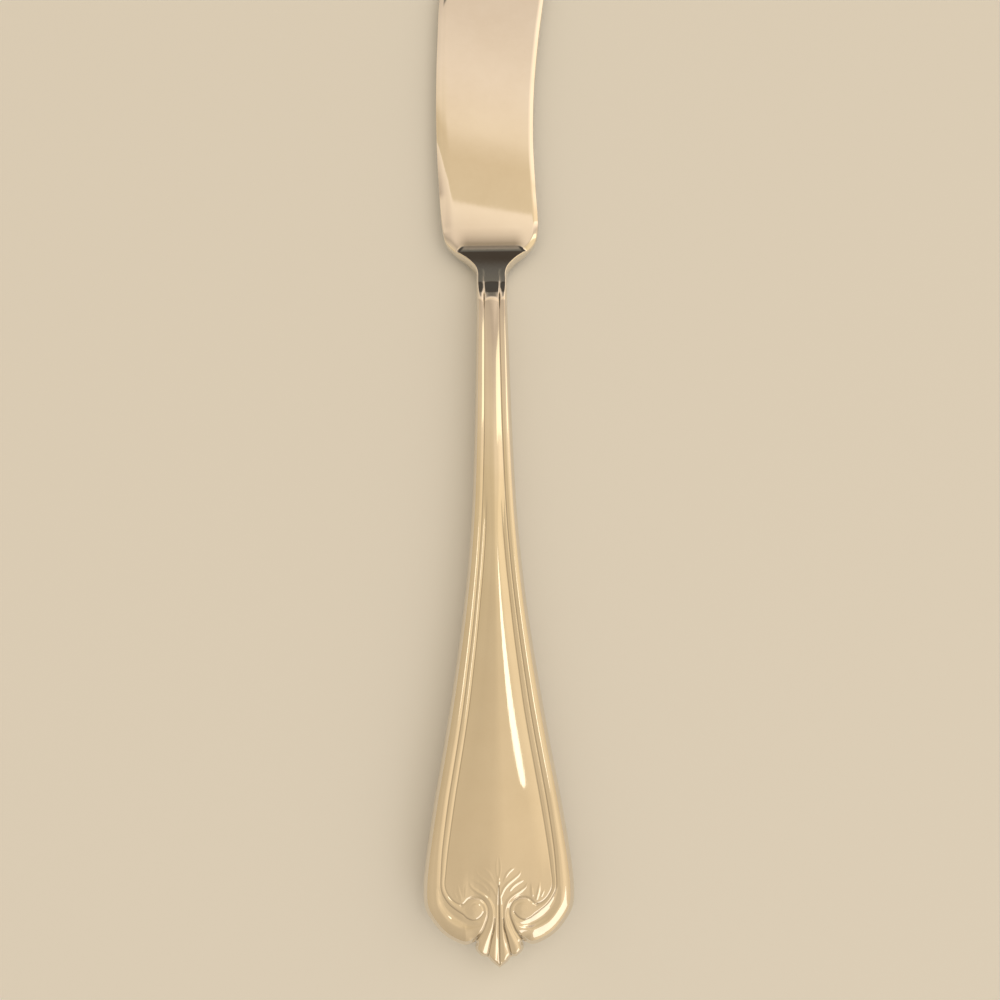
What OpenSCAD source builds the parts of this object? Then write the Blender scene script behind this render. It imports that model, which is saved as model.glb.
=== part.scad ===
// A butter knife with a hollow handle, lying on its back.
//
// It comes apart into four pieces: the forged blade, which has its bolster and
// tang in one with it, the front and back handle shells, which meet at the
// middle plane, and the cement that fills the handle and grips the tang.
//
// The pieces are drawn about the knife's own axis. There the joint between the
// handle and the bolster is at the origin, +Y runs to the tip of the blade, -Y
// to the butt, +X is the side of the blade's spine and +Z is the front face.
// lay_down() then sets the knife on its back, with the origin under the middle
// of its outline.

/* [Handle] */
// Length from the joint with the bolster to the tip of the butt
handle_l = 102; // [90:1:115]
// Greatest width, across the two lobes of the butt
handle_w = 21.2; // [18:0.1:25]
// Width at the joint
neck_w = 5.1; // [4.5:0.1:6]
// Length of the butt, from the widest place to the tip
butt_l = 10; // [8:0.5:12]
// Greatest thickness, both shells together
handle_t = 6.8; // [6:0.1:8]
// Thickness at the joint
neck_t = 5; // [4.4:0.1:5.6]
// Thickness at the tip of the butt, before its edge is rounded off
butt_t = 3.2; // [2.6:0.1:3.8]
// How far the thickest place is from the tip of the butt
full_l = 24; // [20:1:28]
// Height of the panel over the rims, from the thickest place to the butt
panel_h = 0.65; // [0.5:0.05:0.8]
// Height of the middle ridge over the rims at the joint
ridge_h = 0.2; // [0.1:0.05:0.3]
// How far the foot of the panel is from the tip of the butt
foot_l = 8; // [7:0.5:9]
// Length over which the panel rises from its foot
foot_rise_l = 8; // [6:0.5:10]

/* [Shells] */
// Thickness of the metal of each shell
wall = 0.6; // [0.5:0.05:0.75]
// Width of the face on which the two shells meet
seam_w = 0.8; // [0.6:0.05:1]

/* [Rim and thread] */
// Width of the moulding, from the outline to the inner groove
moulding_w = 3.15; // [2.5:0.05:3.8]
// Depth of the grooves on each side of the thread
groove_depth = 0.3; // [0.15:0.05:0.4]
// Length over which the grooves fade in from the joint
groove_fade = 3; // [2:0.5:5]
// Length of the fan, from where its petals part to the tip of the butt
fan_l = 6.5; // [5:0.1:8]
// Petals of the fan
petals = 4; // [2:2:6]
// Depth of the flutes between the petals
flute_depth = 0.3; // [0.15:0.05:0.35]

/* [Blade] */
// Length from the joint to the tip of the blade
blade_l = 76; // [64:1:90]
// Width that the blade's outline is drawn to
blade_w = 19; // [16:0.5:22]
// Thickness of the flat
blade_t = 1.6; // [1.3:0.1:2]
// Length of the shoulders, from the joint to the heel
shoulder_l = 11.6; // [10:0.1:13]
// Width of the bevel on the cutting edge
bevel_w = 2.6; // [2:0.1:3.2]
// Thickness left at the cutting edge
edge_t = 0.4; // [0.3:0.05:0.5]
// Width of the rounding along the spine
spine_round_w = 0.9; // [0.7:0.1:1.1]
// Thickness left at the outline of the spine
spine_t = 0.9; // [0.7:0.05:1.1]

/* [Bolster and tang] */
// Length over which the bolster falls to the flat of the blade
bolster_l = 9; // [7.5:0.1:10]
// Width of the bolster where it meets the flat
bolster_w = 8; // [6.5:0.5:9.5]
// Length of the tang inside the handle
tang_l = 46; // [38:1:55]
// Least cement between the sides of the tang and the shells
tang_side_cover = 0.45; // [0.35:0.05:0.55]
// Least cement between the faces of the tang and the shells
tang_face_cover = 0.8; // [0.65:0.05:0.95]
// Depth of each notch that keys the tang in the cement
notch_depth = 0.35; // [0.3:0.01:0.42]
// Length of each notch
notch_l = 3; // [2.5:0.1:3.6]

/* [Hidden] */

// Gap that keeps the cement off the shells and the tang
cement_gap = 0.02;
// How far the tang runs into the bolster, as a share of the bolster's length
root_share = 0.2;

// The handle's outline from the joint to the widest place: share of that
// length, share of the swell from the neck's width to the full width, and the
// share of the length at which the point's cross line ends on the middle line
shaft_shares = [
    [0.000, 0.000, 0.000], [0.030, 0.000, 0.030], [0.127, 0.022, 0.127], [0.277, 0.063, 0.277],
    [0.419, 0.131, 0.419], [0.554, 0.265, 0.554], [0.685, 0.468, 0.685], [0.778, 0.636, 0.778],
    [0.870, 0.820, 0.866], [0.958, 0.967, 0.919], [1.000, 1.000, 0.952]
];

// The butt's outline from the widest place to the tip: share of the butt's
// length, share of half the handle's width, and the share of the butt's length
// at which the cross line ends. It turns in at the notch beside the fan and
// again between the fan's petals.
butt_shares = [
    [0.230, 0.972, -0.190], [0.400, 0.877, 0.000], [0.570, 0.726, 0.190], [0.670, 0.557, 0.330],
    [0.705, 0.430, 0.425], [0.655, 0.305, 0.500], [0.715, 0.318, 0.570], [0.765, 0.312, 0.625],
    [0.850, 0.226, 0.690], [0.862, 0.158, 0.750], [0.928, 0.098, 0.815], [1.000, 0.000, 0.880]
];

// The shoulders: share of their length, then share of the flare from the neck
// to the heel
shoulder_shares = [
    [0.000, 0.000], [0.130, 0.000], [0.260, 0.000], [0.364, 0.060], [0.504, 0.300], [0.623, 0.620],
    [0.771, 0.885]
];

// The cutting edge and the spine from the heel to the tip: share of that
// length, then share of blade_w from the axis. Points in the same place in the
// two lists are the two ends of one cross line.
cutting_shares = [
    [0.000, -0.432], [0.124, -0.466], [0.287, -0.492], [0.434, -0.497], [0.589, -0.487], [0.729, -0.466],
    [0.798, -0.416], [0.864, -0.305], [0.921, -0.126], [0.963, 0.095], [0.989, 0.337], [1.000, 0.542]
];
spine_shares = [
    [0.000, 0.419], [0.124, 0.409], [0.271, 0.398], [0.426, 0.418], [0.581, 0.468], [0.729, 0.532],
    [0.798, 0.555], [0.853, 0.571], [0.899, 0.582], [0.938, 0.589], [0.969, 0.596], [0.989, 0.600]
];

// Places across the moulding where the shells have a row of points: share of
// the moulding's width, share of the groove depth cut there, and the share
// that is cut only where the handle is wide enough for a thread. Less than
// nothing stands proud.
moulding_shares = [
    [0.00, 0.00, 0.00], [0.04, 0.00, 0.00], [0.16, -0.10, 0.00], [0.36, -0.20, 0.00], [0.56, -0.25, 0.00],
    [0.68, 1.00, 0.00], [0.82, 0.00, -0.10], [0.96, 0.00, 0.80], [1.10, 0.00, 0.00]
];
// Which of these rows are the bottoms of the outer and the inner groove
groove_rows = [5, 7];
// Widths of the handle at which the thread starts to show and shows in full
thread_fade_w = [6.6, 8.4];
// Share of the moulding's width over which the rims are rounded off to the
// outline, and how square that rounding is
edge_share = 0.5;
edge_power = 2.5;
// Rows across the panel inside the moulding, as shares of the way to the middle
panel_shares = [0.25, 0.5, 0.75, 1];
// Rows of the inside of a shell, as shares of the way from its edge to the middle
cavity_shares = [0, 0.06, 0.22, 0.45, 0.72, 1];
// Rows across the bevel, the flat and the rounding of the spine, each as
// shares of the way over it. The rounding's start at the outline.
bevel_shares = [0, 0.05, 0.2, 0.45, 0.7, 1];
flat_shares = [0.14, 0.32, 0.5, 0.68, 0.86];
rounding_shares = [1, 0.6, 0.25, 0.06, 0];
// Largest share of a cross line that the bevel and the rounding may take
bevel_limit_share = 0.2;
round_limit_share = 0.12;
// Half the angle of the fan, and the angle at which it is lost in the handle
fan_angles = [40, 52];
// Share of the fan's length over which its flutes deepen from the root
fan_rise_share = 0.5;
// Share of the fan's length, at its tip, from which the grooves stay out
groove_end_share = 0.25;
// How fast the bolster falls at first: 1 is a straight ramp
fall_power = 1.3;
// Middles of the tang's notches, as shares of its length
notch_shares = [0.3, 0.55, 0.8];

outline_steps = 4;
cavity_steps = 2;
blade_steps = 3;

half_w = handle_w / 2;
petal_angle = 2 * fan_angles[0] / petals;
widest_y = -(handle_l - butt_l);
full_y = -(handle_l - full_l);
heel_l = blade_l - shoulder_l;
rest_tilt = atan((handle_t - neck_t) / 2 / (handle_l - full_l));
spine_reach = blade_w * spine_shares[len(spine_shares) - 1][1];
tang_w = neck_w - 2 * (seam_w + tang_side_cover);
tang_t = neck_t - 2 * (wall + tang_face_cover);

function mix(a, b, t) = a + (b - a) * t;
function clamp01(t) = min(max(t, 0), 1);
function ease(t) = let (c = clamp01(t)) c * c * (3 - 2 * c);

// A point of the smooth curve that passes through b and c, at the time t
// between them, where times follow the square root of the distances
function curve_point(a, b, c, d, t) =
    let (
        t1 = sqrt(norm(b - a)),
        t2 = t1 + sqrt(norm(c - b)),
        t3 = t2 + sqrt(norm(d - c)),
        s = mix(t1, t2, t),
        a1 = mix(a, b, s / t1),
        a2 = mix(b, c, (s - t1) / (t2 - t1)),
        a3 = mix(c, d, (s - t2) / (t3 - t2)),
        b1 = mix(a1, a2, s / t2),
        b2 = mix(a2, a3, (s - t1) / (t3 - t1))
    )
    mix(b1, b2, (s - t1) / (t2 - t1));

// A smooth curve through all the points, in so many steps from each to the next
function smooth_curve(points, steps) =
    let (
        n = len(points),
        all = concat([2 * points[0] - points[1]], points, [2 * points[n - 1] - points[n - 2]])
    )
    concat(
        [for (i = [0 : n - 2], k = [0 : steps - 1])
            curve_point(all[i], all[i + 1], all[i + 2], all[i + 3], k / steps)],
        [points[n - 1]]
    );

// The right-hand outline of the handle, from the joint to the tip of the butt.
// The third value of a point is where its cross line ends on the middle line.
handle_points = concat(
    [for (p = shaft_shares) [mix(neck_w / 2, half_w, p[1]), widest_y * p[0], widest_y * p[2]]],
    [for (p = butt_shares) [half_w * p[1], widest_y - butt_l * p[0], widest_y - butt_l * p[2]]]
);

cutting_points = concat(
    [for (p = shoulder_shares) [mix(-neck_w / 2, blade_w * cutting_shares[0][1], p[1]), shoulder_l * p[0]]],
    [for (p = cutting_shares) [blade_w * p[1], shoulder_l + heel_l * p[0]]]
);
spine_points = concat(
    [for (p = shoulder_shares) [mix(neck_w / 2, blade_w * spine_shares[0][1], p[1]), shoulder_l * p[0]]],
    [for (p = spine_shares) [blade_w * p[1], shoulder_l + heel_l * p[0]]]
);

// Height of the rims over the middle plane
function rim_height(y) =
    y > full_y
    ? mix(neck_t / 2 - ridge_h, handle_t / 2 - panel_h, y / full_y)
    : mix(handle_t / 2 - panel_h, butt_t / 2, pow(clamp01((full_y - y) / full_l), 3));

// Height of the middle of the panel over the rims
function panel_rise(y) =
    mix(ridge_h, panel_h, clamp01(y / full_y))
    * (1 - pow(1 - clamp01((y + handle_l - foot_l) / foot_rise_l), 2));

// A rounded shape, from 1 on the middle line to 0 at the outline
function dome(across) = sqrt(max(0, 1 - across * across));

// The rounding of a rim, from 0 at the outline to 1 where the rim is level
function edge(t) = pow(1 - pow(1 - clamp01(t), edge_power), 1 / edge_power);

// The moulding is narrower where the handle is narrow
function moulding_at(reach) = moulding_w * (1 - exp(-reach / moulding_w));

// How much of the fan's carving there is at the point q, from 0 to 1
function fan_at(q) =
    let (
        from_root = -handle_l + fan_l - q[1],
        angle = atan2(abs(q[0]), from_root)
    )
    from_root < 0 ? 0
    : ease((fan_angles[1] - angle) / (fan_angles[1] - fan_angles[0]))
    * ease(norm([q[0], from_root]) / (fan_l * fan_rise_share))
    * (1 + cos(360 * angle / petal_angle)) / 2;

// How much of the thread there is beside the outline point p, from 0 to 1
function thread_at(p) =
    ease((2 * p[0] - thread_fade_w[0]) / (thread_fade_w[1] - thread_fade_w[0]));

// How far up the panel the points at this distance in from the outline are, on
// the cross line from p to m: 0 at the inmost groove and 1 on the middle line
function panel_at(p, m, inset) =
    let (
        reach = norm(p - m),
        grooves = [for (i = groove_rows) moulding_shares[i][0]],
        start = moulding_at(reach) * mix(grooves[0], grooves[1], thread_at(p)),
        across = clamp01((inset - start) / (reach - start))
    )
    1 - pow(1 - across, 2);

// Height of the front at the point q on the cross line from p to m. The point
// is at a distance in from the outline, and cuts are its shares of grooves.
function front_height(p, m, q, inset, cuts) =
    let (
        edge_w = moulding_at(norm(p - m)) * edge_share,
        fade = ease(-p[1] / groove_fade) * ease((p[1] + handle_l) / (fan_l * groove_end_share) - 1)
    )
    (rim_height(q[1]) - flute_depth * fan_at(q)) * edge(inset / edge_w)
    + panel_rise(q[1]) * panel_at(p, m, inset)
    - groove_depth * (cuts[0] + cuts[1] * thread_at(p)) * fade;

// One row of the front of a shell, along the cross line of an outline point
function front_row(point) =
    let (
        p = [point[0], point[1]],
        m = [0, point[2]],
        reach = norm(p - m),
        band = moulding_at(reach),
        band_end = band * moulding_shares[len(moulding_shares) - 1][0],
        places = concat(
            [for (s = moulding_shares) [band * s[0], s[1], s[2]]],
            [for (s = panel_shares) [mix(band_end, reach, s), 0, 0]]
        )
    )
    [for (d = places)
        let (q = mix(p, m, d[0] / reach))
        [q[0], q[1], d[0] == 0 ? 0 : front_height(p, m, q, d[0], [d[1], d[2]])]];

// One row of the inside of a shell, which follows the front but not into its
// grooves. The space inside is drawn in by the gap.
function cavity_row(point, gap) =
    let (
        p = [point[0], point[1]],
        m = [0, point[2]],
        reach = norm(p - m),
        first = seam_w + gap,
        edge_w = moulding_at(reach) * edge_share
    )
    [for (s = cavity_shares)
        let (
            inset = mix(first, reach, s),
            q = mix(p, m, inset / reach),
            on_panel = panel_at(p, m, inset),
            sunk = wall + gap + groove_depth * (1 - on_panel),
            height = rim_height(q[1]) + panel_rise(q[1]) * on_panel - sunk
        )
        [q[0], q[1], height * edge((inset - first) / edge_w)]];

// Both halves of a row, from the cutting-edge side to the spine side
function both_sides(row) = concat(
    [for (q = row) [-q[0], q[1], q[2]]],
    [for (i = [len(row) - 2 : -1 : 0]) row[i]]
);

// The triangles of a grid of rows, each with n points, from index first on
function grid_faces(rows, n, first) = [
    for (i = [0 : rows - 2], j = [0 : n - 2])
        let (a = first + i * n + j)
        each [[a, a + 1, a + n], [a + 1, a + n + 1, a + n]]
];

// The triangles between two lines of points that have different counts
function zip_faces(a, b) =
    let (na = len(a) - 1, nb = len(b) - 1)
    concat(
        [for (i = [0 : na - 1]) [a[i], a[i + 1], b[round(i * nb / na)]]],
        [for (k = [0 : nb - 1])
            let (at = [for (i = [0 : na]) if (round(i * nb / na) > k) i])
            [a[at[0]], b[k + 1], b[k]]]
    );

function turned(faces) = [for (f = faces) [f[0], f[2], f[1]]];

// One handle shell, with its seam face on the middle plane
module shell() {
    outer_line = smooth_curve(handle_points, outline_steps);
    inner_line = smooth_curve(handle_points, cavity_steps);
    outer_n = len(outer_line) - 1;
    inner_n = len(inner_line) - 1;
    outer_rows = [for (i = [0 : outer_n - 1]) both_sides(front_row(outer_line[i]))];
    inner_rows = [for (i = [0 : inner_n - 1]) both_sides(cavity_row(inner_line[i], 0))];
    w = len(outer_rows[0]);
    v = len(inner_rows[0]);
    outer_tip = outer_n * w;
    inner_first = outer_tip + 1;
    inner_tip = inner_first + inner_n * v;
    outer_left = concat([for (i = [0 : outer_n - 1]) i * w], [outer_tip]);
    outer_right = concat([for (i = [0 : outer_n - 1]) i * w + w - 1], [outer_tip]);
    inner_left = concat([for (i = [0 : inner_n - 1]) inner_first + i * v], [inner_tip]);
    inner_right = concat([for (i = [0 : inner_n - 1]) inner_first + i * v + v - 1], [inner_tip]);
    last = outer_tip - w;
    inner_last = inner_tip - v;
    polyhedron(
        points = concat(
            [for (r = outer_rows) each r],
            [[0, -handle_l, 0]],
            [for (r = inner_rows) each r],
            [[0, seam_w - handle_l, 0]]
        ),
        faces = concat(
            grid_faces(outer_n, w, 0),
            [for (j = [0 : w - 2]) [last + j, last + j + 1, outer_tip]],
            turned(grid_faces(inner_n, v, inner_first)),
            [for (j = [0 : v - 2]) [inner_last + j + 1, inner_last + j, inner_tip]],
            zip_faces(outer_left, inner_left),
            turned(zip_faces(outer_right, inner_right)),
            turned(zip_faces([for (j = [0 : w - 1]) j], [for (j = [0 : v - 1]) inner_first + j]))
        ),
        convexity = 6
    );
}

// The cement as it sets in the handle, without the hole that the tang leaves
module cement_block() {
    line = smooth_curve(handle_points, cavity_steps);
    n = len(line) - 1;
    top = [for (i = [0 : n - 1]) both_sides(cavity_row(line[i], cement_gap))];
    v = len(top[0]);
    tip = n * v;
    // The underside shares the outline of the top, so it has no first or last point
    under = [for (r = top) [for (j = [1 : v - 2]) [r[j][0], r[j][1], -r[j][2]]]];
    under_first = tip + 1;
    u = v - 2;
    function top_at(i, j) = i * v + j;
    function under_at(i, j) =
        j == 0 || j == v - 1 ? top_at(i, j) : under_first + i * u + j - 1;
    polyhedron(
        points = concat(
            [for (r = top) each r],
            [[0, seam_w + cement_gap - handle_l, 0]],
            [for (r = under) each r]
        ),
        faces = concat(
            grid_faces(n, v, 0),
            [for (j = [0 : v - 2]) [top_at(n - 1, j), top_at(n - 1, j + 1), tip]],
            [for (i = [0 : n - 2], j = [0 : v - 2]) each [
                [under_at(i, j + 1), under_at(i, j), under_at(i + 1, j)],
                [under_at(i, j + 1), under_at(i + 1, j), under_at(i + 1, j + 1)]
            ]],
            [for (j = [0 : v - 2]) [under_at(n - 1, j + 1), under_at(n - 1, j), tip]],
            // The end at the joint is closed in strips from the top to the underside
            [for (j = [1 : v - 2]) if (j < v - 2) each [
                [top_at(0, j + 1), top_at(0, j), under_at(0, j)],
                [top_at(0, j + 1), under_at(0, j), under_at(0, j + 1)]
            ]],
            [[top_at(0, 1), top_at(0, 0), under_at(0, 1)]],
            [[top_at(0, v - 1), top_at(0, v - 2), under_at(0, v - 2)]]
        ),
        convexity = 4
    );
}

// Half the thickness of the flat part of the blade at a distance in from the
// cutting edge and from the spine. The bevel blends into the flat without a line.
function flat_height(from_edge, from_spine, bevel, rounding) = min(
    mix(edge_t, blade_t, 1 - pow(1 - clamp01(from_edge / bevel), 2)) / 2,
    mix(spine_t, blade_t, dome(1 - clamp01(from_spine / rounding))) / 2
);

// The same with the bolster on it, at the point q
function blade_height(q, flat) =
    let (
        fall = 1 - clamp01(q[1] / bolster_l),
        core = mix(bolster_w, neck_w, sqrt(fall)) / 2,
        body = neck_t / 2 * edge((core - abs(q[0])) / (core * edge_share))
    )
    flat + max(0, body - flat) * pow(fall, fall_power);

// One cross line of the blade, from the cutting edge a to the spine b
function blade_row(a, b) =
    let (
        span = norm(b - a),
        bevel = min(bevel_w, span * bevel_limit_share),
        rounding = min(spine_round_w, span * round_limit_share),
        distances = concat(
            [for (s = bevel_shares) bevel * s],
            [for (s = flat_shares) mix(bevel, span - rounding, s)],
            [for (s = rounding_shares) span - rounding * s]
        )
    )
    [for (d = distances)
        let (q = mix(a, b, d / span))
        [q[0], q[1], blade_height(q, flat_height(d, span - d, bevel, rounding))]];

// The blade and bolster, closed all round
module blade_body() {
    cutting = smooth_curve(cutting_points, blade_steps);
    spine = smooth_curve(spine_points, blade_steps);
    n = len(cutting);
    top = [for (i = [0 : n - 1]) blade_row(cutting[i], spine[i])];
    v = len(top[0]);
    under_first = n * v;
    under = [for (r = top) [for (q = r) [q[0], q[1], -q[2]]]];
    last = (n - 1) * v;
    polyhedron(
        points = concat([for (r = top) each r], [for (r = under) each r]),
        faces = concat(
            turned(grid_faces(n, v, 0)),
            grid_faces(n, v, under_first),
            [for (i = [0 : n - 2])
                let (a = i * v, b = a + v, c = under_first)
                each [[a, b, c + a], [b, c + b, c + a]]],
            [for (i = [0 : n - 2])
                let (a = i * v + v - 1, b = a + v, c = under_first)
                each [[a, c + a, b], [b, c + a, c + b]]],
            [for (j = [0 : v - 2]) each [
                [j, under_first + j, j + 1],
                [j + 1, under_first + j, under_first + j + 1],
                [last + j, last + j + 1, under_first + last + j],
                [last + j + 1, under_first + last + j + 1, under_first + last + j]
            ]]
        ),
        convexity = 6
    );
}

// The tang, grown all round by the gap, and run past the joint by the root
module tang(gap, root) {
    half = tang_w / 2 + gap;
    translate([0, 0, -tang_t / 2 - gap])
        linear_extrude(tang_t + 2 * gap)
            difference() {
                translate([-half, -tang_l - gap])
                    square([2 * half, tang_l + gap + root]);
                for (s = notch_shares, side = [-1, 1])
                    translate([side * half, -tang_l * s])
                        square([2 * notch_depth, notch_l - 2 * gap], center = true);
            }
}

// Sets the knife on the straight line of its back, over the origin
module lay_down() {
    translate([
        (half_w - spine_reach) / 2,
        (handle_l - blade_l) / 2 * cos(rest_tilt),
        neck_t / 2 * cos(rest_tilt)
    ])
        rotate([-rest_tilt, 0, 0])
            children();
}

module blade() {
    color("silver")
        lay_down()
            union() {
                blade_body();
                tang(0, bolster_l * root_share);
            }
}

module handle_front_shell() {
    color("gainsboro")
        lay_down()
            shell();
}

module handle_back_shell() {
    color("gainsboro")
        lay_down()
            mirror([0, 0, 1])
                shell();
}

module handle_cement() {
    color("dimgray")
        lay_down()
            difference() {
                cement_block();
                tang(cement_gap, cement_gap);
            }
}

blade();
handle_front_shell();
handle_back_shell();
handle_cement();
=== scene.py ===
"""Looks of the butter knife: the carved handle, the blade, their steel, the light and the camera.

The knife is drawn about its own axis, in millimetres: x across it, with the
blade's spine at +x, a along it from the tip of the butt, and z out of its front
face. knife_to_row lays it on its back, where the frame has it.
"""

import math

import bpy
import numpy as np
from mathutils import Matrix, Vector


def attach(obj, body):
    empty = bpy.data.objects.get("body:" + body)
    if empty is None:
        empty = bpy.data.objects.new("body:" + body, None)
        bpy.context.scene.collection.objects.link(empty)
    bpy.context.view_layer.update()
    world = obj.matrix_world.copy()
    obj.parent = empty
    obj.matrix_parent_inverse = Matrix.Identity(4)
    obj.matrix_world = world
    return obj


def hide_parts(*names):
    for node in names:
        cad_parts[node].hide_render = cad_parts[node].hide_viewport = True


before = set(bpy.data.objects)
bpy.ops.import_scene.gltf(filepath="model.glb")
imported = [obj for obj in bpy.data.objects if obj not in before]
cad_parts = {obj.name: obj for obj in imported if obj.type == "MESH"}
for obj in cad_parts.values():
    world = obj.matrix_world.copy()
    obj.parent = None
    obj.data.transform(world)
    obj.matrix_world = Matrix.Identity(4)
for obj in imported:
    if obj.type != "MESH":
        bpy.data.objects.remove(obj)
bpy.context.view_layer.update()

# The frame's sizes
HANDLE_L = 102
HANDLE_W = 21.2
NECK_W = 5.1
BUTT_L = 10
HANDLE_T = 6.8
NECK_T = 5
BUTT_T = 3.2
FULL_L = 24
PANEL_H = 0.648
RIDGE_H = 0.2
FOOT_RISE_L = 8
EDGE_POWER = 2.5
WALL = 0.6
SEAM_W = 0.8
BLADE_L = 76
BLADE_W = 19
BLADE_T = 1.6
SHOULDER_L = 11.6
SPINE_ROUND_W = 0.9
SPINE_T = 0.9
SPINE_REACH = 0.6 * BLADE_W
TANG = (2.6, 46, 2.2)
NOTCH = (0.35, 3)
NOTCH_AT = (0.3, 0.55, 0.8)
MM = 0.001
# The looks stay this far inside the frame's sizes
INSIDE = 0.001

TILT = math.atan((HANDLE_T - NECK_T) / 2 / (HANDLE_L - FULL_L))
LAY = (
    Matrix.Translation(
        (
            (HANDLE_W / 2 - SPINE_REACH) / 2,
            (HANDLE_L - BLADE_L) / 2 * math.cos(TILT),
            NECK_T / 2 * math.cos(TILT),
        )
    )
    @ Matrix.Rotation(-TILT, 4, "X")
    @ Matrix.Translation((0, -HANDLE_L, 0))
)
knife_to_row = Matrix.Diagonal((MM, MM, MM, 1)) @ LAY


# Small tools


def ease(t):
    t = np.clip(t, 0, 1)
    return t * t * (3 - 2 * t)


def mix(a, b, t):
    return a + (b - a) * t


def smooth(points, steps=10):
    """A smooth curve through all the points."""
    p = np.array(points, float)
    p = np.vstack([2 * p[0] - p[1], p, 2 * p[-1] - p[-2]])
    out = []
    for a, b, c, d in zip(p, p[1:], p[2:], p[3:]):
        t1 = math.sqrt(np.linalg.norm(b - a))
        t2 = t1 + math.sqrt(np.linalg.norm(c - b))
        t3 = t2 + math.sqrt(np.linalg.norm(d - c))
        s = np.linspace(t1, t2, steps, endpoint=False)[:, None]
        a1, a2 = mix(a, b, s / t1), mix(b, c, (s - t1) / (t2 - t1))
        a3 = mix(c, d, (s - t2) / (t3 - t2))
        b1, b2 = mix(a1, a2, s / t2), mix(a2, a3, (s - t1) / (t3 - t1))
        out.append(mix(b1, b2, (s - t1) / (t2 - t1)))
    return np.vstack(out + [p[-2]])


def to_line(q, line):
    """For each point: its distance from a line, the share of the line up to the nearest place, its side."""
    a, ab = line[:-1], np.diff(line, axis=0)
    length = np.hypot(*ab.T)
    start = np.concatenate([[0], np.cumsum(length)])
    best, where, which = np.full(len(q), np.inf), np.zeros(len(q)), np.ones(len(q))
    for k in range(len(a)):
        if length[k] == 0:
            continue
        t = np.clip((q - a[k]) @ ab[k] / length[k] ** 2, 0, 1)
        d = np.hypot(*(q - a[k] - t[:, None] * ab[k]).T)
        near = d < best
        best[near], where[near] = d[near], start[k] + t[near] * length[k]
        which[near] = np.sign(ab[k, 0] * (q[near, 1] - a[k, 1]) - ab[k, 1] * (q[near, 0] - a[k, 0]))
    return best, where / start[-1], which


def stroke(q, points, widths, heights, power=2.0, outer=1.0):
    """A ridge along a curve, with widths and heights at even steps along it. Outer widens its outer side."""
    line = smooth(points)
    reach = max(widths) * max(outer, 1)
    lo, hi = line.min(0) - reach, line.max(0) + reach
    near = np.all((q > lo) & (q < hi), axis=1)
    z = np.zeros(len(q))
    if near.any():
        d, t, which = to_line(q[near], line)
        w = np.interp(t, np.linspace(0, 1, len(widths)), widths)
        w = np.where(which > 0, w * outer, w)
        h = np.interp(t, np.linspace(0, 1, len(heights)), heights)
        u = np.clip(1 - d / np.maximum(w, 1e-6), 0, 1)
        z[near] = h * (ease(u) if power == 2.0 else u**power)
    return z


# The handle's outline: x, a, and where the cross line ends on the middle line
SHAFT = [
    (0.000, 0.000, 0.000), (0.030, 0.000, 0.030), (0.127, 0.022, 0.127), (0.277, 0.063, 0.277),
    (0.419, 0.131, 0.419), (0.554, 0.265, 0.554), (0.685, 0.468, 0.685), (0.778, 0.636, 0.778),
    (0.870, 0.820, 0.866), (0.958, 0.967, 0.919), (1.000, 1.000, 0.952),
]
BUTT = [
    (0.230, 0.972, -0.190), (0.400, 0.877, 0.000), (0.570, 0.726, 0.190), (0.668, 0.560, 0.330),
    (0.699, 0.486, 0.380), (0.706, 0.424, 0.425), (0.689, 0.368, 0.460), (0.655, 0.309, 0.500),
    (0.715, 0.318, 0.570), (0.765, 0.312, 0.625),
    (0.850, 0.226, 0.690), (0.862, 0.158, 0.750), (0.928, 0.098, 0.815), (1.000, 0.000, 0.880),
]
shaft_l = HANDLE_L - BUTT_L
outline = smooth(
    [(mix(NECK_W / 2, HANDLE_W / 2, w), HANDLE_L - shaft_l * s, HANDLE_L - shaft_l * m) for s, w, m in SHAFT]
    + [(HANDLE_W / 2 * w, BUTT_L * (1 - s), BUTT_L * (1 - m)) for s, w, m in BUTT],
    24,
)
outline[:, 0] = np.minimum(outline[:, 0], HANDLE_W / 2 - INSIDE)
side = outline[outline[:, 1] >= BUTT_L][::-1]


def half_width(a):
    return np.interp(a, side[:, 1], side[:, 0])


# The moulding: insets of its two grooves from the outline, along the handle
GROOVE_1 = ([10, 12, 16, 22, 35, 51, 66, 83, 102], [2.5, 2.4, 2.2, 2.08, 1.98, 1.7, 1.62, 1.5, 1.27])
GROOVE_2 = ([10, 12, 22, 35, 51, 66], [3.05, 3.05, 2.98, 2.85, 2.42, 2.3])


def groove_line(insets, stations, curl):
    return [(half_width(a) - np.interp(a, *insets), a) for a in stations] + curl


# The lines of the carving were read off the photo as if they lay on the middle
# plane. The front stands above it, so they are drawn in from its true places.
CAMERA_FOOT = np.array([0, 27.9])
RAISED = 1.016
groove_1 = groove_line(
    GROOVE_1,
    [103.5, 96, 88, 80, 72, 64, 57, 51, 45, 40, 35, 30, 26, 22, 18, 15, 12.5],
    [(8.1, 10.2), (7.65, 9.1), (6.9, 8.1), (5.85, 7.3), (5.05, 6.8), (4.5, 6.32), (3.85, 6.06),
     (3.15, 6.12), (2.55, 6.5), (2.15, 7.0)],
)
groove_2 = groove_line(
    GROOVE_2,
    [66, 61, 56, 51, 45, 40, 35, 30, 26, 22, 18, 15, 12.5],
    [(7.55, 10.5), (6.95, 9.2), (6.1, 8.4), (5.25, 8.05)],
)
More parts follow.
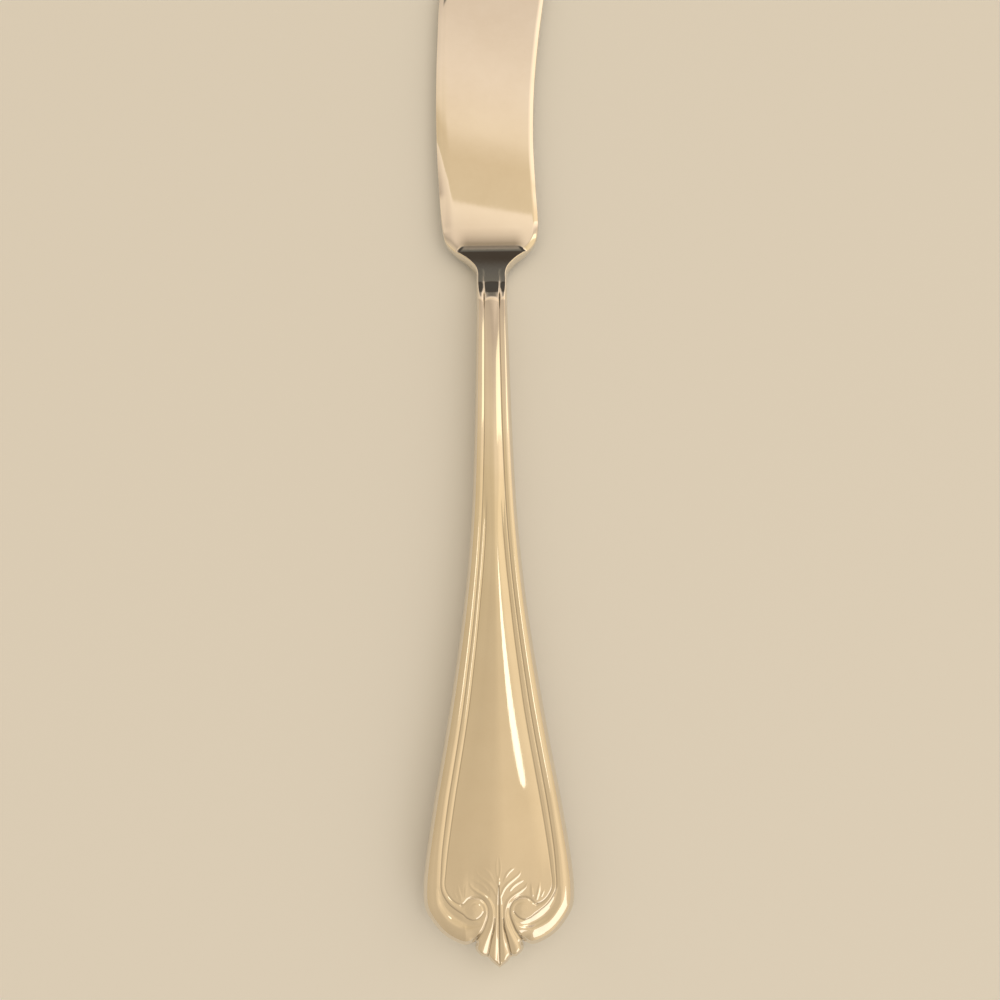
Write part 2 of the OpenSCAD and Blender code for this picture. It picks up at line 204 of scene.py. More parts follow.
# The bolster's ramp: where its foot is, and how its slope grows from there, as
# distance and slope. The handle's ridges end on it in rounded tongues, which
# die away over TONGUE_FADE. The notches between the tongues are given as half
# widths along the handle. Where the ridges end, the panel is NECK_PANEL_H high.
NECK_RIM = GROOVE_1[1][-1]
NECK_PANEL_H = 0.06
PANEL_FADE_A, PANEL_FADE_L = 86, 15
TONGUE_ROUND = 0.015
TONGUE_L = 0.5
TONGUE_FADE = (101.1, 103.3)
GAP_W = ([99.3, 99.9, 100.7, 101.3, 101.9, 102.4], [0.02, 0.1, 0.17, 0.24, 0.2, 0.02])
GAP_DEPTH = 0.06
# Painted shade in the notches: its share, and how fast it reaches that
GAP_SHADE, GAP_SHADE_RISE = 0.85, 1.8
RAMP_END_A = 110.75
RAMP_FOOT = ([0, 0.35, 1.15, 1.6], [0, 0.125, 0.13, 0.152])
# Half the width of the ramp along the handle. Below zero there is none.
RAMP_HALF = ([104, 107.9, 108.6, 109.4, 110.2, 110.6, 111.0, 111.5], [9, 9, 6.4, 5.6, 5.0, 4.6, 4.0, -1])
# The groove over the eye of the scroll and down beside the fan to the notch
SCROLL = [
    (5.3, 8.05), (4.9, 8.2), (4.3, 8.75), (3.5, 9.0), (2.75, 8.9), (2.05, 8.45), (1.6, 7.75), (1.5, 7.0),
    (1.65, 6.2), (1.95, 5.4), (2.3, 4.65), (2.75, 4.0), (3.2, 3.45),
]
EYE, EYE_R = (3.4, 7.5), 1.42
# The edge of the panel: bottom, as x and a
PANEL_FOOT = (
    [0, 1.2, 2.0, 2.75, 3.5, 4.3, 5.0, 5.25, 6.1, 6.95, 8.0],
    [8.0, 8.1, 8.5, 8.9, 9.0, 8.75, 8.1, 8.05, 8.4, 9.2, 11.5],
)
# The fan beside the scrolls: where its side is
FAN_SIDE = (
    [0, 2.4, 3.0, 3.5, 4.0, 4.65, 5.4, 6.2, 7.0, 7.75, 8.45],
    [3.5, 3.5, 3.4, 3.2, 2.75, 2.3, 1.95, 1.65, 1.5, 1.6, 2.05],
)


def panel_rise(a):
    """Height of the middle of the panel over the rims."""
    shaft = mix(PANEL_H, RIDGE_H, np.clip((a - FULL_L) / (HANDLE_L - FULL_L), 0, 1))
    return shaft - ease((a - PANEL_FADE_A) / PANEL_FADE_L) * (RIDGE_H - NECK_PANEL_H)


def rim_height(a):
    """Height of the rims over the middle plane."""
    full = HANDLE_T / 2 - INSIDE
    shaft = mix(full, NECK_T / 2, (a - FULL_L) / (HANDLE_L - FULL_L)) - panel_rise(a)
    return np.where(a > FULL_L, shaft, mix(full - PANEL_H, BUTT_T / 2, np.clip(1 - a / FULL_L, 0, 1) ** 3))


def edge(t):
    """The rounding of a rim, from 0 at the outline to 1 where the rim is level."""
    return (1 - (1 - np.clip(t, 0, 1)) ** EDGE_POWER) ** (1 / EDGE_POWER)


run = np.append(np.linspace(0, 2, 201), 120)
run_slope = np.interp(run, *RAMP_FOOT)
rise = np.append(0, np.cumsum((run_slope[1:] + run_slope[:-1]) / 2 * np.diff(run)))


def ramp_height(a):
    """Height of the bolster's ramp over the middle plane."""
    return BLADE_T / 2 + np.interp(RAMP_END_A - a, run, rise)


def gap_share(off, a):
    """The notches between the tongues: share of their depth, off the middle of a groove."""
    return np.clip(1 - np.abs(off) / np.interp(a, *GAP_W), 0, 1) * ((a > GAP_W[0][0]) & (a < GAP_W[0][-1]))


def gap_shade(gap):
    """Painted shade in the notches."""
    return GAP_SHADE * np.minimum(GAP_SHADE_RISE * gap, 1)


def foot_share(x, a):
    """The panel's rise from its foot, which lies over the scrolls."""
    up = np.clip((a - np.interp(x, *PANEL_FOOT)) / FOOT_RISE_L, 0, 1)
    return 1 - (1 - up) ** 2


def rim_share(a):
    """How much of a rim's width is rounded."""
    return np.interp(a, [40, 75, 100, 103, 108], [0.85, 0.7, 0.5, 0.3, 0.25])


def groove_fade(a):
    """The grooves run out on the bolster's ramp."""
    return np.interp(a, [101, 102.8, 104.5, 107], [1, 0.6, 0.25, 0])


def raised(q):
    """Where the camera sees points of the front, on the middle plane."""
    return CAMERA_FOOT + (q - CAMERA_FOOT) * RAISED


def moulded(q, inset, border, edge_w):
    """Height of the moulded section, rims and panel, and of the ramp that cuts them off at the bolster."""
    x, a = raised(q).T
    across = np.clip(1 - x / border, 0, 1)
    panel = panel_rise(q[:, 1]) * (1 - (1 - across) ** 2) * foot_share(x, a)
    z = rim_height(q[:, 1]) + panel
    # The ridges die away on the ramp, and are longest along their middles
    rim = np.clip(inset / NECK_RIM, 0, 1)
    dome = np.where(x < border, 1 - np.minimum(x / border, 1) ** 2, 4 * rim * (1 - rim))
    fade = ease((TONGUE_FADE[1] - q[:, 1]) / (TONGUE_FADE[1] - TONGUE_FADE[0]))
    ramp_z = ramp_height(q[:, 1] - TONGUE_L * fade * dome) + fade * panel
    return -TONGUE_ROUND * np.logaddexp(-z / TONGUE_ROUND, -ramp_z / TONGUE_ROUND) * edge(inset / edge_w)


def front_height(q, band):
    """Height of the front at points with x not negative, without the leaves. The band is the rim's width.

    Also the share of painted shade at the points, in the recesses, from 0 to 1, and the height of the leaves.
    """
    inset, _, _ = to_line(q, np.vstack([[NECK_W / 2, HANDLE_L + 5], outline[:, :2]]))
    seen = raised(q)
    x, a = seen.T
    thread = ease((THREAD_A - a) / THREAD_FADE_L)
    border = half_width(np.maximum(a, BUTT_L)) - mix(np.interp(a, *GROOVE_1), np.interp(a, *GROOVE_2), thread)
    border = np.where(a > BORDER_FOOT[0][-1], border, np.interp(a, *BORDER_FOOT))
    in_fan = ease((np.interp(a, *FAN_SIDE) - x) / FAN_FADE + 0.5) * (a < FAN_TOP_A)
    z = moulded(q, inset, border, mix(band * rim_share(q[:, 1]), FAN_EDGE_W, in_fan))
    # Grooves of the moulding: steep towards the middle, with a long slope towards the rim
    # The recess share is painted shade: along the grooves, in the notches, the scroll and the cuts
    recess = groove_fade(a) * stroke(seen, groove_1, *GROOVE_1_SHADE, 1)
    gap = gap_share(x - half_width(a) + NECK_RIM, a)
    z -= GAP_DEPTH * gap
    recess = np.maximum(recess, gap_shade(gap))
    z -= groove_fade(a) * stroke(seen, groove_1, GROOVE_1_W, GROOVE_1_D, GROOVE_POWER, GROOVE_1_OUTER)
    z -= thread * stroke(seen, groove_2, GROOVE_2_W, GROOVE_2_D, GROOVE_POWER, GROOVE_2_OUTER)
    recess = np.maximum(recess, thread * stroke(seen, groove_2, *GROOVE_2_SHADE, 1))
    z -= stroke(seen, SCROLL, SCROLL_W, SCROLL_D, CUT_POWER)
    recess = np.maximum(recess, stroke(seen, SCROLL, *SCROLL_SHADE, 1))
    valley = stroke(seen, VALLEY, VALLEY_W, VALLEY_D)
    z -= valley
    # Eye of the scroll
    r = np.hypot(x - EYE[0], a - EYE[1]) / EYE_R
    z += EYE_H * ease(1.2 * (1 - r))
    z -= stroke(seen, CURL, CURL_W, CURL_D)
    # The lobes lean away from the notches
    z += LEAN_H * ease(1 - np.hypot(x - LEAN_AT[0], a - LEAN_AT[1]) / LEAN_R) * (1 - in_fan)
    # Stems and petals
    for points, widths, heights in CARVING:
        z += stroke(seen, points, widths, heights)
    for points, widths, heights in CUTS:
        z -= stroke(seen, points, widths, heights, CUT_POWER)
        recess = np.maximum(recess, stroke(seen, points, *CUT_SHADE, 1))
    leaves = -LEFT_VALLEY * valley
    for points, widths, heights in LEAVES:
        leaves += stroke(seen, points, widths, heights)
    return z, recess, leaves


# The second groove fades towards THREAD_A, where the panel's border goes over to
# the first one. Below, it follows BORDER_FOOT, as places along the handle and x.
THREAD_A, THREAD_FADE_L = 72, 12
BORDER_FOOT = ([8.05, 8.4, 9.2], [5.25, 6.1, 6.95])
# The fan reaches up to FAN_TOP_A, and its rim is this wide
FAN_TOP_A, FAN_FADE, FAN_EDGE_W = 9, 0.5, 0.9
EYE_H = 0.1
# The lean of the lobes away from the notches
LEAN_AT, LEAN_R, LEAN_H = (2.9, 4.0), 2.7, 0.2
# The hollow of a lobe between its groove and its rim, and the curl in the eye
VALLEY = [(8.6, 10.5), (7.8, 8.25), (6.5, 6.7), (5.15, 5.85), (3.8, 5.4), (2.85, 5.5), (2.35, 6.0)]
CURL = [(2.15, 7.0), (2.25, 7.7), (2.85, 8.25), (3.6, 8.2), (4.05, 7.6), (3.8, 7.05)]
# Widths and depths of the grooves and hollows, at even steps along them. Outer:
# how many times wider a groove's slope towards the rim is than its other one.
GROOVE_1_W = [0.17, 0.17, 0.18, 0.2, 0.22, 0.2]
GROOVE_1_D = [0.1, 0.09, 0.1, 0.12, 0.14, 0.07]
GROOVE_2_W = [0.16, 0.16, 0.18, 0.16]
GROOVE_2_D = [0.08, 0.09, 0.1, 0.08]
GROOVE_1_OUTER, GROOVE_2_OUTER = 2.6, 2.4
SCROLL_W = [0.24, 0.28, 0.3, 0.3, 0.36]
SCROLL_D = [0.08, 0.12, 0.16, 0.2, 0.3]
VALLEY_W = [0.3, 0.9, 1.1, 0.9, 0.3]
VALLEY_D = [0.0, 0.14, 0.18, 0.15, 0.0]
CURL_W = [0.25, 0.22, 0.1]
CURL_D = [0.03, 0.03, 0.0]
GROOVE_POWER, CUT_POWER = 1.2, 1.5
# Painted shade in them: half widths and shares, at even steps along them
GROOVE_1_SHADE = [0.13], [0.7]
GROOVE_2_SHADE = [0.12], [0.55]
SCROLL_SHADE = [0.14, 0.14, 0.2], [0.3, 0.6, 1.0]
CUT_SHADE = [0.16], [0.9]
# Raised forms and cuts: points, widths, and heights or depths
CARVING = [
    # Outer petal and its stem, which curls over the scroll
    ([(2.5, 1.9), (2.05, 3.0), (1.5, 4.2), (1.05, 5.3), (0.85, 6.5), (0.95, 7.6), (1.5, 8.7), (2.3, 9.35),
      (3.1, 9.85), (3.75, 10.35), (4.05, 10.8)],
     [0.85, 0.7, 0.55, 0.45, 0.4, 0.36, 0.32, 0.28, 0.14],
     [0.13, 0.15, 0.17, 0.18, 0.17, 0.14, 0.11, 0.08, 0.02]),
    # Inner petal and stem
    ([(0.8, 0.9), (0.68, 2.1), (0.52, 3.5), (0.42, 5.0), (0.34, 6.4), (0.28, 7.8), (0.2, 9.2), (0.1, 10.4)],
     [0.7, 0.6, 0.45, 0.34, 0.3, 0.26, 0.22, 0.14], [0.1, 0.12, 0.14, 0.13, 0.1, 0.06, 0.04, 0.02]),
    # Bud over the middle
    ([(0, 10.5), (0, 11.1), (0, 11.7)], [0.12, 0.3, 0.12], [0.02, 0.07, 0.02]),
]
LEAVES = [
    ([(0.05, 11.5), (0.26, 12.4), (0.28, 13.4), (0.12, 14.6)],
     [0.18, 0.18, 0.18, 0.1], [0.03, 0.035, 0.03, 0.0]),
    ([(0.3, 9.2), (0.7, 10.1), (1.3, 10.8), (2.2, 11.5), (2.9, 12.1), (3.2, 12.8)],
     [0.2, 0.26, 0.28, 0.26, 0.24, 0.1], [0.05, 0.08, 0.08, 0.07, 0.06, 0.0]),
    ([(1.6, 10.0), (2.1, 10.55), (2.8, 11.0), (3.9, 11.5)],
     [0.22, 0.28, 0.28, 0.12], [0.05, 0.07, 0.07, 0.0]),
    ([(0.7, 11.2), (1.2, 12.1), (1.8, 12.7), (2.65, 13.2)],
     [0.14, 0.24, 0.26, 0.12], [0.02, 0.05, 0.06, 0.0]),
    ([(4.7, 9.2), (4.65, 9.9), (4.6, 10.8)], [0.24, 0.26, 0.1], [0.05, 0.06, 0.0]),
    ([(5.3, 8.8), (5.6, 9.9), (5.8, 11.2)], [0.26, 0.28, 0.1], [0.06, 0.07, 0.0]),
    ([(5.95, 9.1), (6.2, 9.6), (6.5, 10.2)], [0.2, 0.2, 0.1], [0.04, 0.04, 0.0]),
]
# On the left the leaves are worn to this share of their height, and so is this
# share of the lobe's hollow
WORN = 0.4
LEFT_VALLEY = 0.8
# There is this much of the painted shade in the recesses on the left
LEFT_SHADE = 0.65
CUTS = [
    # Between the petals
    ([(0, 10.6), (0, 8.0), (0, 5.4), (0, 2.8), (0, 0.2)],
     [0.12, 0.14, 0.16, 0.2, 0.2], [0.03, 0.08, 0.1, 0.1, 0.08]),
    ([(0.6, 6.2), (0.72, 5.0), (1.0, 3.9), (1.3, 2.7), (1.6, 1.4)],
     [0.16, 0.2, 0.24, 0.28, 0.3], [0.05, 0.12, 0.16, 0.2, 0.24]),
]


# The blade: the width of its bevel and half the thickness at the cutting edge,
# along the knife, and how wide the two edges are rounded
BEVEL_W = ([102, 108, 114, 178], [0.9, 1.2, 2.5, 2.5])
CUTTING_T = ([109, 113, 120], [0.72, 0.6, 0.2])
BEVEL_POWER, SPINE_POWER = 3.4, 1.4
CUTTING_ROUND, SPINE_ROUND = 0.15, 0.2
SPINE_FADE = [106, 111]
# Painted shade in the corner at the ramp's foot, along the knife, and how far it reaches aside
CORNER_SHADE = ([109.6, 110.3, 110.8, 111.5, 112.4, 113.8], [0, 0.7, 0.7, 0.42, 0.2, 0])
CORNER_HALF, CORNER_FADE = 6.2, 2.4
RAMP_SIDE_W = 0.7


def blade_height(q, to_cutting, to_spine):
    """Height of the front of the blade and bolster, and its share of painted shade. x may be negative."""
    x, a = np.abs(q[:, 0]), q[:, 1]
    flat = BLADE_T / 2
    t = np.clip(to_cutting / np.interp(a, *BEVEL_W), 0, 1)
    thin = np.interp(a, *CUTTING_T)
    bevel = mix(thin, flat, 1 - (1 - t) ** BEVEL_POWER) * edge(to_cutting / CUTTING_ROUND)
    u = np.clip(1 - to_spine / SPINE_ROUND_W, 0, 1)
    drop = np.interp(a, SPINE_FADE, [0, flat - SPINE_T / 2])
    body = np.minimum(bevel, (flat - drop * u**SPINE_POWER) * edge(to_spine / SPINE_ROUND))
    # The ramp goes on from the handle, whose grooves die away on it
    inset = np.minimum(to_cutting, to_spine)
    border = np.maximum(inset + x - NECK_RIM, 0.1)
    neck = moulded(np.stack([x, a], axis=1), inset, border, NECK_RIM * rim_share(a))
    fade = groove_fade(raised(q)[:, 1])
    off = inset - NECK_RIM
    wide = np.where(off < 0, GROOVE_1_OUTER, 1) * GROOVE_1_W[0]
    neck -= fade * GROOVE_1_D[0] * np.clip(1 - np.abs(off) / wide, 0, 1) ** GROOVE_POWER
    gap = gap_share(off, raised(q)[:, 1])
    neck -= GAP_DEPTH * gap
    z = mix(body, np.maximum(neck, body), ease((np.interp(a, *RAMP_HALF) - x) / RAMP_SIDE_W + 0.5))
    # Painted shade: in the corner at the ramp's foot, along the groove, and in the notches
    corner = np.interp(a, *CORNER_SHADE) * ease((CORNER_HALF - x) / CORNER_FADE)
    [groove_shade_w], [groove_shade] = GROOVE_1_SHADE
    line = groove_shade * fade * np.clip(1 - np.abs(off) / groove_shade_w, 0, 1)
    return z, np.max([corner, line, gap_shade(gap)], axis=0)


SHOULDER = [
    (0.000, 0.000), (0.130, 0.000), (0.260, 0.000), (0.364, 0.060), (0.504, 0.300), (0.623, 0.620),
    (0.771, 0.885),
]
CUTTING = [
    (0.000, -0.432), (0.124, -0.466), (0.287, -0.492), (0.434, -0.497), (0.589, -0.487), (0.729, -0.466),
    (0.798, -0.416), (0.864, -0.305), (0.921, -0.126), (0.963, 0.095), (0.989, 0.337), (1.000, 0.542),
]
SPINE = [
    (0.000, 0.419), (0.124, 0.409), (0.271, 0.398), (0.426, 0.418), (0.581, 0.468), (0.729, 0.532),
    (0.798, 0.555), (0.853, 0.571), (0.899, 0.582), (0.938, 0.589), (0.969, 0.596), (0.989, 0.600),
]


def blade_side(shares, sign):
    heel = BLADE_W * shares[0][1]
    line = smooth(
        [(mix(sign * NECK_W / 2, heel, w), HANDLE_L + SHOULDER_L * s) for s, w in SHOULDER]
        + [(BLADE_W * w, HANDLE_L + SHOULDER_L + (BLADE_L - SHOULDER_L) * s) for s, w in shares],
        24,
    )
    line[:, 0] = np.minimum(line[:, 0], SPINE_REACH - INSIDE)
    return line


# Meshes


def make(name, points, faces, smooth_faces, recess):
    """A piece. Where smooth and flat faces meet, the edge is sharp."""
    mesh = bpy.data.meshes.new(name)
    mesh.from_pydata(points, [], faces)
    mesh.transform(knife_to_row)
    mesh.polygons.foreach_set("use_smooth", smooth_faces)
    # The recess attribute carries the share of painted shade
    deep = mesh.attributes.new("recess", "FLOAT", "POINT")
    deep.data.foreach_set("value", np.pad(recess, (0, len(points) - len(recess))).astype(np.float32))
    edge_of = np.empty(len(mesh.loops), np.int32)
    mesh.loops.foreach_get("edge_index", edge_of)
    smooth_loops = np.repeat(smooth_faces, [len(f) for f in faces])
    meets = np.zeros((2, len(mesh.edges)), bool)
    meets[0, edge_of[smooth_loops]] = True
    meets[1, edge_of[~smooth_loops]] = True
    mesh.edges.foreach_set("use_edge_sharp", meets.all(axis=0))
    mesh.validate()
    mesh.update()
    obj = bpy.data.objects.new(name, mesh)
    bpy.context.collection.objects.link(obj)
    return obj


def quads(index, flip=False):
    """Faces over a grid of point numbers, leaving out the corners that coincide."""
    out = []
    for upper, lower in zip(index[:-1], index[1:]):
        for a, b, c, d in zip(upper[:-1], upper[1:], lower[1:], lower[:-1]):
            f = [a, b, c, d] if not flip else [d, c, b, a]
            f = list(dict.fromkeys(f))
            if len(f) > 2:
                out.append(f)
    return out


def spaced(line, gaps):
    """The curve's points again, so far apart as the gaps say at each place."""
    step = np.hypot(*np.diff(line[:, :2], axis=0).T)
    count = np.concatenate([[0], np.cumsum(step / np.interp(line[:-1, 1], *gaps))])
    n = int(math.ceil(count[-1]))
    at = np.linspace(0, count[-1], n + 1)
    return np.stack([np.interp(at, count, line[:, k]) for k in range(line.shape[1])], axis=1)


def places(g1, g2, reach, far):
    """Insets of a row's points: close together at the outline and over the two grooves."""
    s = np.linspace(0, 1, 400) * reach
    gap = np.interp(s, [0, 0.1, 0.6, 1.2], [0.025, 0.05, 0.1, far])
    for g in (g1, g2):
        gap = np.minimum(gap, np.interp(np.abs(s - g), [0.45, 0.6], [0.04, far]))
    count = np.concatenate([[0], np.cumsum(np.diff(s) / gap[1:])])
    return np.interp(np.linspace(0, count[-1], ACROSS), count, s)


ACROSS = 150
# Gaps between the rows along the handle and the blade, and between the points
# of a row away from the grooves
HANDLE_GAP = ([16, 22, 40, 92, 99, 102], [0.11, 0.5, 0.8, 0.8, 0.11, 0.11])
BLADE_GAP = ([102, 112, 116, 150, 172, 178], [0.16, 0.16, 0.5, 0.7, 0.4, 0.2])
FAR_GAP = ([14, 24], [0.07, 0.2])
# The second groove lies this far inside the first one, and both at the most at
# this share of a row
GROOVES_APART, GROOVE_MOST = 0.9, 0.8
# Inside a shell: the widest seam as a share of a row, the carving's depth, and
# the least height of the hollow
SEAM_MOST, CARVED_D, HOLLOW_LEAST = 0.65, 0.35, 0.2


def handle_grid():
    """The outline's points, and half the handle's front as rows of points that run in from them."""
    rows = spaced(outline, HANDLE_GAP)
    band, _, _ = to_line(rows[:, :2], CAMERA_FOOT + (smooth(groove_1) - CAMERA_FOOT) / RAISED)
    half = []
    for (x, a, m), b in zip(rows, band):
        reach = math.hypot(x, a - m)
        far = np.interp(a, *FAR_GAP)
        most = GROOVE_MOST * reach
        t = (places(min(b, most), min(b + GROOVES_APART, most), reach, far) / reach)[:, None]
        half.append(mix(np.array([x, a]), np.array([0, m]), t))
    half = np.array(half)
    n, w = half.shape[:2]
    z, recess, leaves = (v.reshape(n, w) for v in front_height(half.reshape(-1, 2), np.repeat(band, w)))
    right, left = z + leaves, z + WORN * leaves
    right[:, 0] = left[:, 0] = 0
    return rows, half, right, left, recess


def handle_shell(name, face):
    """One handle shell, as a closed skin. face is 1 for the front and -1 for the back."""
    rows, half, z, z_left, recess = front_grid
    n = len(half)
    right = np.dstack([half, z * face])
    left = np.dstack([half, z_left * face])[:, :-1] * [-1, 1, 1]
    grid = np.concatenate([left, right[:, ::-1]], axis=1)
    # Less painted shade in the recesses on the left
    recess = np.concatenate([LEFT_SHADE * recess[:, :-1], recess[:, ::-1]], axis=1)
    points = grid.reshape(-1, 3)
    index = np.arange(len(points)).reshape(n, -1)
    index[-1] = np.minimum(index[-1], index[-1][::-1])
    # The inside, on fewer points
    shares = np.array([0, 0.06, 0.22, 0.45, 0.72, 1])
    reach = np.hypot(rows[:, 0], rows[:, 1] - rows[:, 2])
    start = rows[:, :2] + (half[:, -1] - rows[:, :2]) * np.minimum(SEAM_W / reach, SEAM_MOST)[:, None]
    inner = mix(start[:, None], half[:, -1][:, None], shares[:, None])
    height = np.maximum(z[:, -1] - CARVED_D - WALL, HOLLOW_LEAST)
    depth = height[:, None] * np.sqrt(1 - (1 - shares) ** 2)
    right = np.dstack([inner, depth * face])
    left = right[:, :-1] * [-1, 1, 1]
    inside = np.concatenate([left, right[:, ::-1]], axis=1)
    k = inside.shape[1]
    inner_index = (np.arange(n * k) + len(points)).reshape(n, k)
    inner_index[-1] = np.minimum(inner_index[-1], inner_index[-1][::-1])
    flip = face > 0
    outer_faces = quads(index, flip)
    rest = quads(inner_index, not flip)
    rest += quads(np.stack([inner_index[:, 0], index[:, 0]], axis=1), flip)
    rest += quads(np.stack([index[:, -1], inner_index[:, -1]], axis=1), flip)
    cap = list(index[0]) + list(inner_index[0][::-1])
    rest.append(cap[::-1] if not flip else cap)
    faces = outer_faces + rest
    shade = np.arange(len(faces)) < len(outer_faces)
    return make(name, np.vstack([points, inside.reshape(-1, 3)]), faces, shade, recess.ravel())


BLADE_ACROSS = 121
CROWDING = 0.75


def blade_and_tang(name):
    cutting = blade_side(CUTTING, -1)
    spine = blade_side(SPINE, 1)
    pairs = np.concatenate([cutting, spine], axis=1)
    rows = spaced(np.concatenate([(cutting + spine) / 2, pairs], axis=1), BLADE_GAP)[:, 2:]
    # The points of a row lie closer together towards both edges
    t = np.linspace(0, 1, BLADE_ACROSS)
    t = mix(t, (1 - np.cos(math.pi * t)) / 2, CROWDING)[None, :, None]
    grid = mix(rows[:, None, :2], rows[:, None, 2:], t)
    n, w = grid.shape[:2]
    q = grid.reshape(-1, 2)
    to_cutting, _, _ = to_line(q, cutting)
    to_spine, _, _ = to_line(q, np.vstack([spine, cutting[-1]]))
    z, recess = blade_height(q, to_cutting, to_spine)
    z = z.reshape(n, w)
    z[:, 0] = z[:, -1] = 0
    z[-1] = 0
    top = np.dstack([grid, z]).reshape(-1, 3)
    index = np.arange(len(top)).reshape(n, w)
    under = index.copy()
    inner = z > 0
    under[inner] = len(top) + np.arange(inner.sum())
    below = top.reshape(n, w, 3)[inner] * [1, 1, -1]
    recess = np.concatenate([recess, recess[inner.ravel()]])
    faces = quads(index) + quads(under, True)
    count = len(faces)
    cap = list(under[0]) + list(index[0][::-1])
    faces.append(list(dict.fromkeys(cap)))
    # The tang, with its notches
    half, length, thick = TANG[0] / 2, TANG[1], TANG[2] / 2
    deep, long = NOTCH
    line = [(half, HANDLE_L)]
    for share in NOTCH_AT:
        y = HANDLE_L - length * share
        top_y, low_y = y + long / 2, y - long / 2
        line += [(half, top_y), (half - deep, top_y), (half - deep, low_y), (half, low_y)]
    line += [(half, HANDLE_L - length)]
    line += [(-x, y) for x, y in reversed(line)]
    first = len(top) + len(below)
    tang = [(x, y, thick) for x, y in line] + [(x, y, -thick) for x, y in line]
    m = len(line)
    faces.append([first + i for i in reversed(range(m))])
    faces.append([first + m + i for i in range(m)])
    faces += [[first + i, first + (i + 1) % m, first + m + (i + 1) % m, first + m + i] for i in range(m)]
    shade = np.arange(len(faces)) < count
    return make(name, np.vstack([top, below, tang]), faces, shade, recess)


front_grid = handle_grid()
blade = blade_and_tang("blade_steel")
front = handle_shell("handle_front", 1)
back = handle_shell("handle_back", -1)
for piece, node, slot in (
    (blade, "blade", "blade_steel"),
    (front, "handle_front_shell", "handle_steel"),
    (back, "handle_back_shell", "handle_steel"),
):
    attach(piece, "root")
    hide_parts(node)


# Materials


def material(name):
    m = bpy.data.materials.new(name)
    m.use_nodes = True
    nodes = m.node_tree.nodes
    return m, nodes, m.node_tree.links, nodes["Principled BSDF"]


def steel(name, color, roughness):
    """Polished steel in use: fine hairlines, a little haze, and painted shade in the recesses."""
    m, nodes, links, bsdf = material(name)
    bsdf.inputs["Metallic"].default_value = 1
    place = nodes.new("ShaderNodeTexCoord")
    hair_map = nodes.new("ShaderNodeMapping")
    hair_map.inputs["Scale"].default_value = (9000, 260, 9000)
    hair_map.inputs["Rotation"].default_value = (0, 0, math.radians(3))
    hair = nodes.new("ShaderNodeTexNoise")
    hair.inputs["Scale"].default_value = 1
    hair.inputs["Detail"].default_value = 3
    haze = nodes.new("ShaderNodeTexNoise")
    haze.inputs["Scale"].default_value = 110
    haze.inputs["Detail"].default_value = 6
    haze.inputs["Roughness"].default_value = 0.62
    links.new(place.outputs["Object"], hair_map.inputs["Vector"])
    links.new(hair_map.outputs["Vector"], hair.inputs["Vector"])
    links.new(place.outputs["Object"], haze.inputs["Vector"])
    gloss = nodes.new("ShaderNodeMapRange")
    gloss.inputs["From Min"].default_value = 0.3
    gloss.inputs["From Max"].default_value = 0.72
    gloss.inputs["To Min"].default_value = roughness * 0.6
    gloss.inputs["To Max"].default_value = roughness * 1.6
    links.new(haze.outputs["Fac"], gloss.inputs["Value"])
    deep = nodes.new("ShaderNodeAttribute")
    deep.attribute_name = "recess"
    dull = nodes.new("ShaderNodeMath")
    dull.operation = "MULTIPLY_ADD"
    dull.inputs[1].default_value = 0.2
    links.new(deep.outputs["Fac"], dull.inputs[0])
    links.new(gloss.outputs["Result"], dull.inputs[2])
    links.new(dull.outputs[0], bsdf.inputs["Roughness"])
    tone = nodes.new("ShaderNodeValToRGB")
    tone.color_ramp.elements[0].position = 0.35
    tone.color_ramp.elements[0].color = (color[0] * 0.965, color[1] * 0.955, color[2] * 0.94, 1)
    tone.color_ramp.elements[1].position = 0.65
    tone.color_ramp.elements[1].color = (*color, 1)
    links.new(haze.outputs["Fac"], tone.inputs["Fac"])
    # Painted shade: in the recesses the colour goes over to this dark brown
    painted_shade = nodes.new("ShaderNodeMix")
    painted_shade.data_type = "RGBA"
    painted_shade.inputs["B"].default_value = (0.2, 0.175, 0.145, 1)
    links.new(deep.outputs["Fac"], painted_shade.inputs["Factor"])
    links.new(tone.outputs["Color"], painted_shade.inputs["A"])
    links.new(painted_shade.outputs["Result"], bsdf.inputs["Base Color"])
    bump = nodes.new("ShaderNodeBump")
    bump.inputs["Strength"].default_value = 0.05
    bump.inputs["Distance"].default_value = 0.00002
    links.new(hair.outputs["Fac"], bump.inputs["Height"])
    links.new(bump.outputs["Normal"], bsdf.inputs["Normal"])
    return m


def rough_cement():
    m, nodes, links, bsdf = material("set_cement")
    place = nodes.new("ShaderNodeTexCoord")
    grain = nodes.new("ShaderNodeTexNoise")
    grain.inputs["Scale"].default_value = 900
    grain.inputs["Detail"].default_value = 8
    links.new(place.outputs["Object"], grain.inputs["Vector"])
    tone = nodes.new("ShaderNodeValToRGB")
    tone.color_ramp.elements[0].color = (0.2, 0.18, 0.16, 1)
    tone.color_ramp.elements[1].color = (0.46, 0.42, 0.37, 1)
    links.new(grain.outputs["Fac"], tone.inputs["Fac"])
    links.new(tone.outputs["Color"], bsdf.inputs["Base Color"])
    bump = nodes.new("ShaderNodeBump")
    bump.inputs["Strength"].default_value = 0.6
    bump.inputs["Distance"].default_value = 0.0001
    links.new(grain.outputs["Fac"], bump.inputs["Height"])
    links.new(bump.outputs["Normal"], bsdf.inputs["Normal"])
    bsdf.inputs["Roughness"].default_value = 0.9
    return m


blade.data.materials.append(steel("blade_polish", (0.83, 0.785, 0.71), 0.028))
handle_polish = steel("handle_polish", (0.82, 0.765, 0.68), 0.05)
front.data.materials.append(handle_polish)
back.data.materials.append(handle_polish)
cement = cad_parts["handle_cement"]
cement.data.materials.clear()
cement.data.materials.append(rough_cement())


# Floor, light and camera


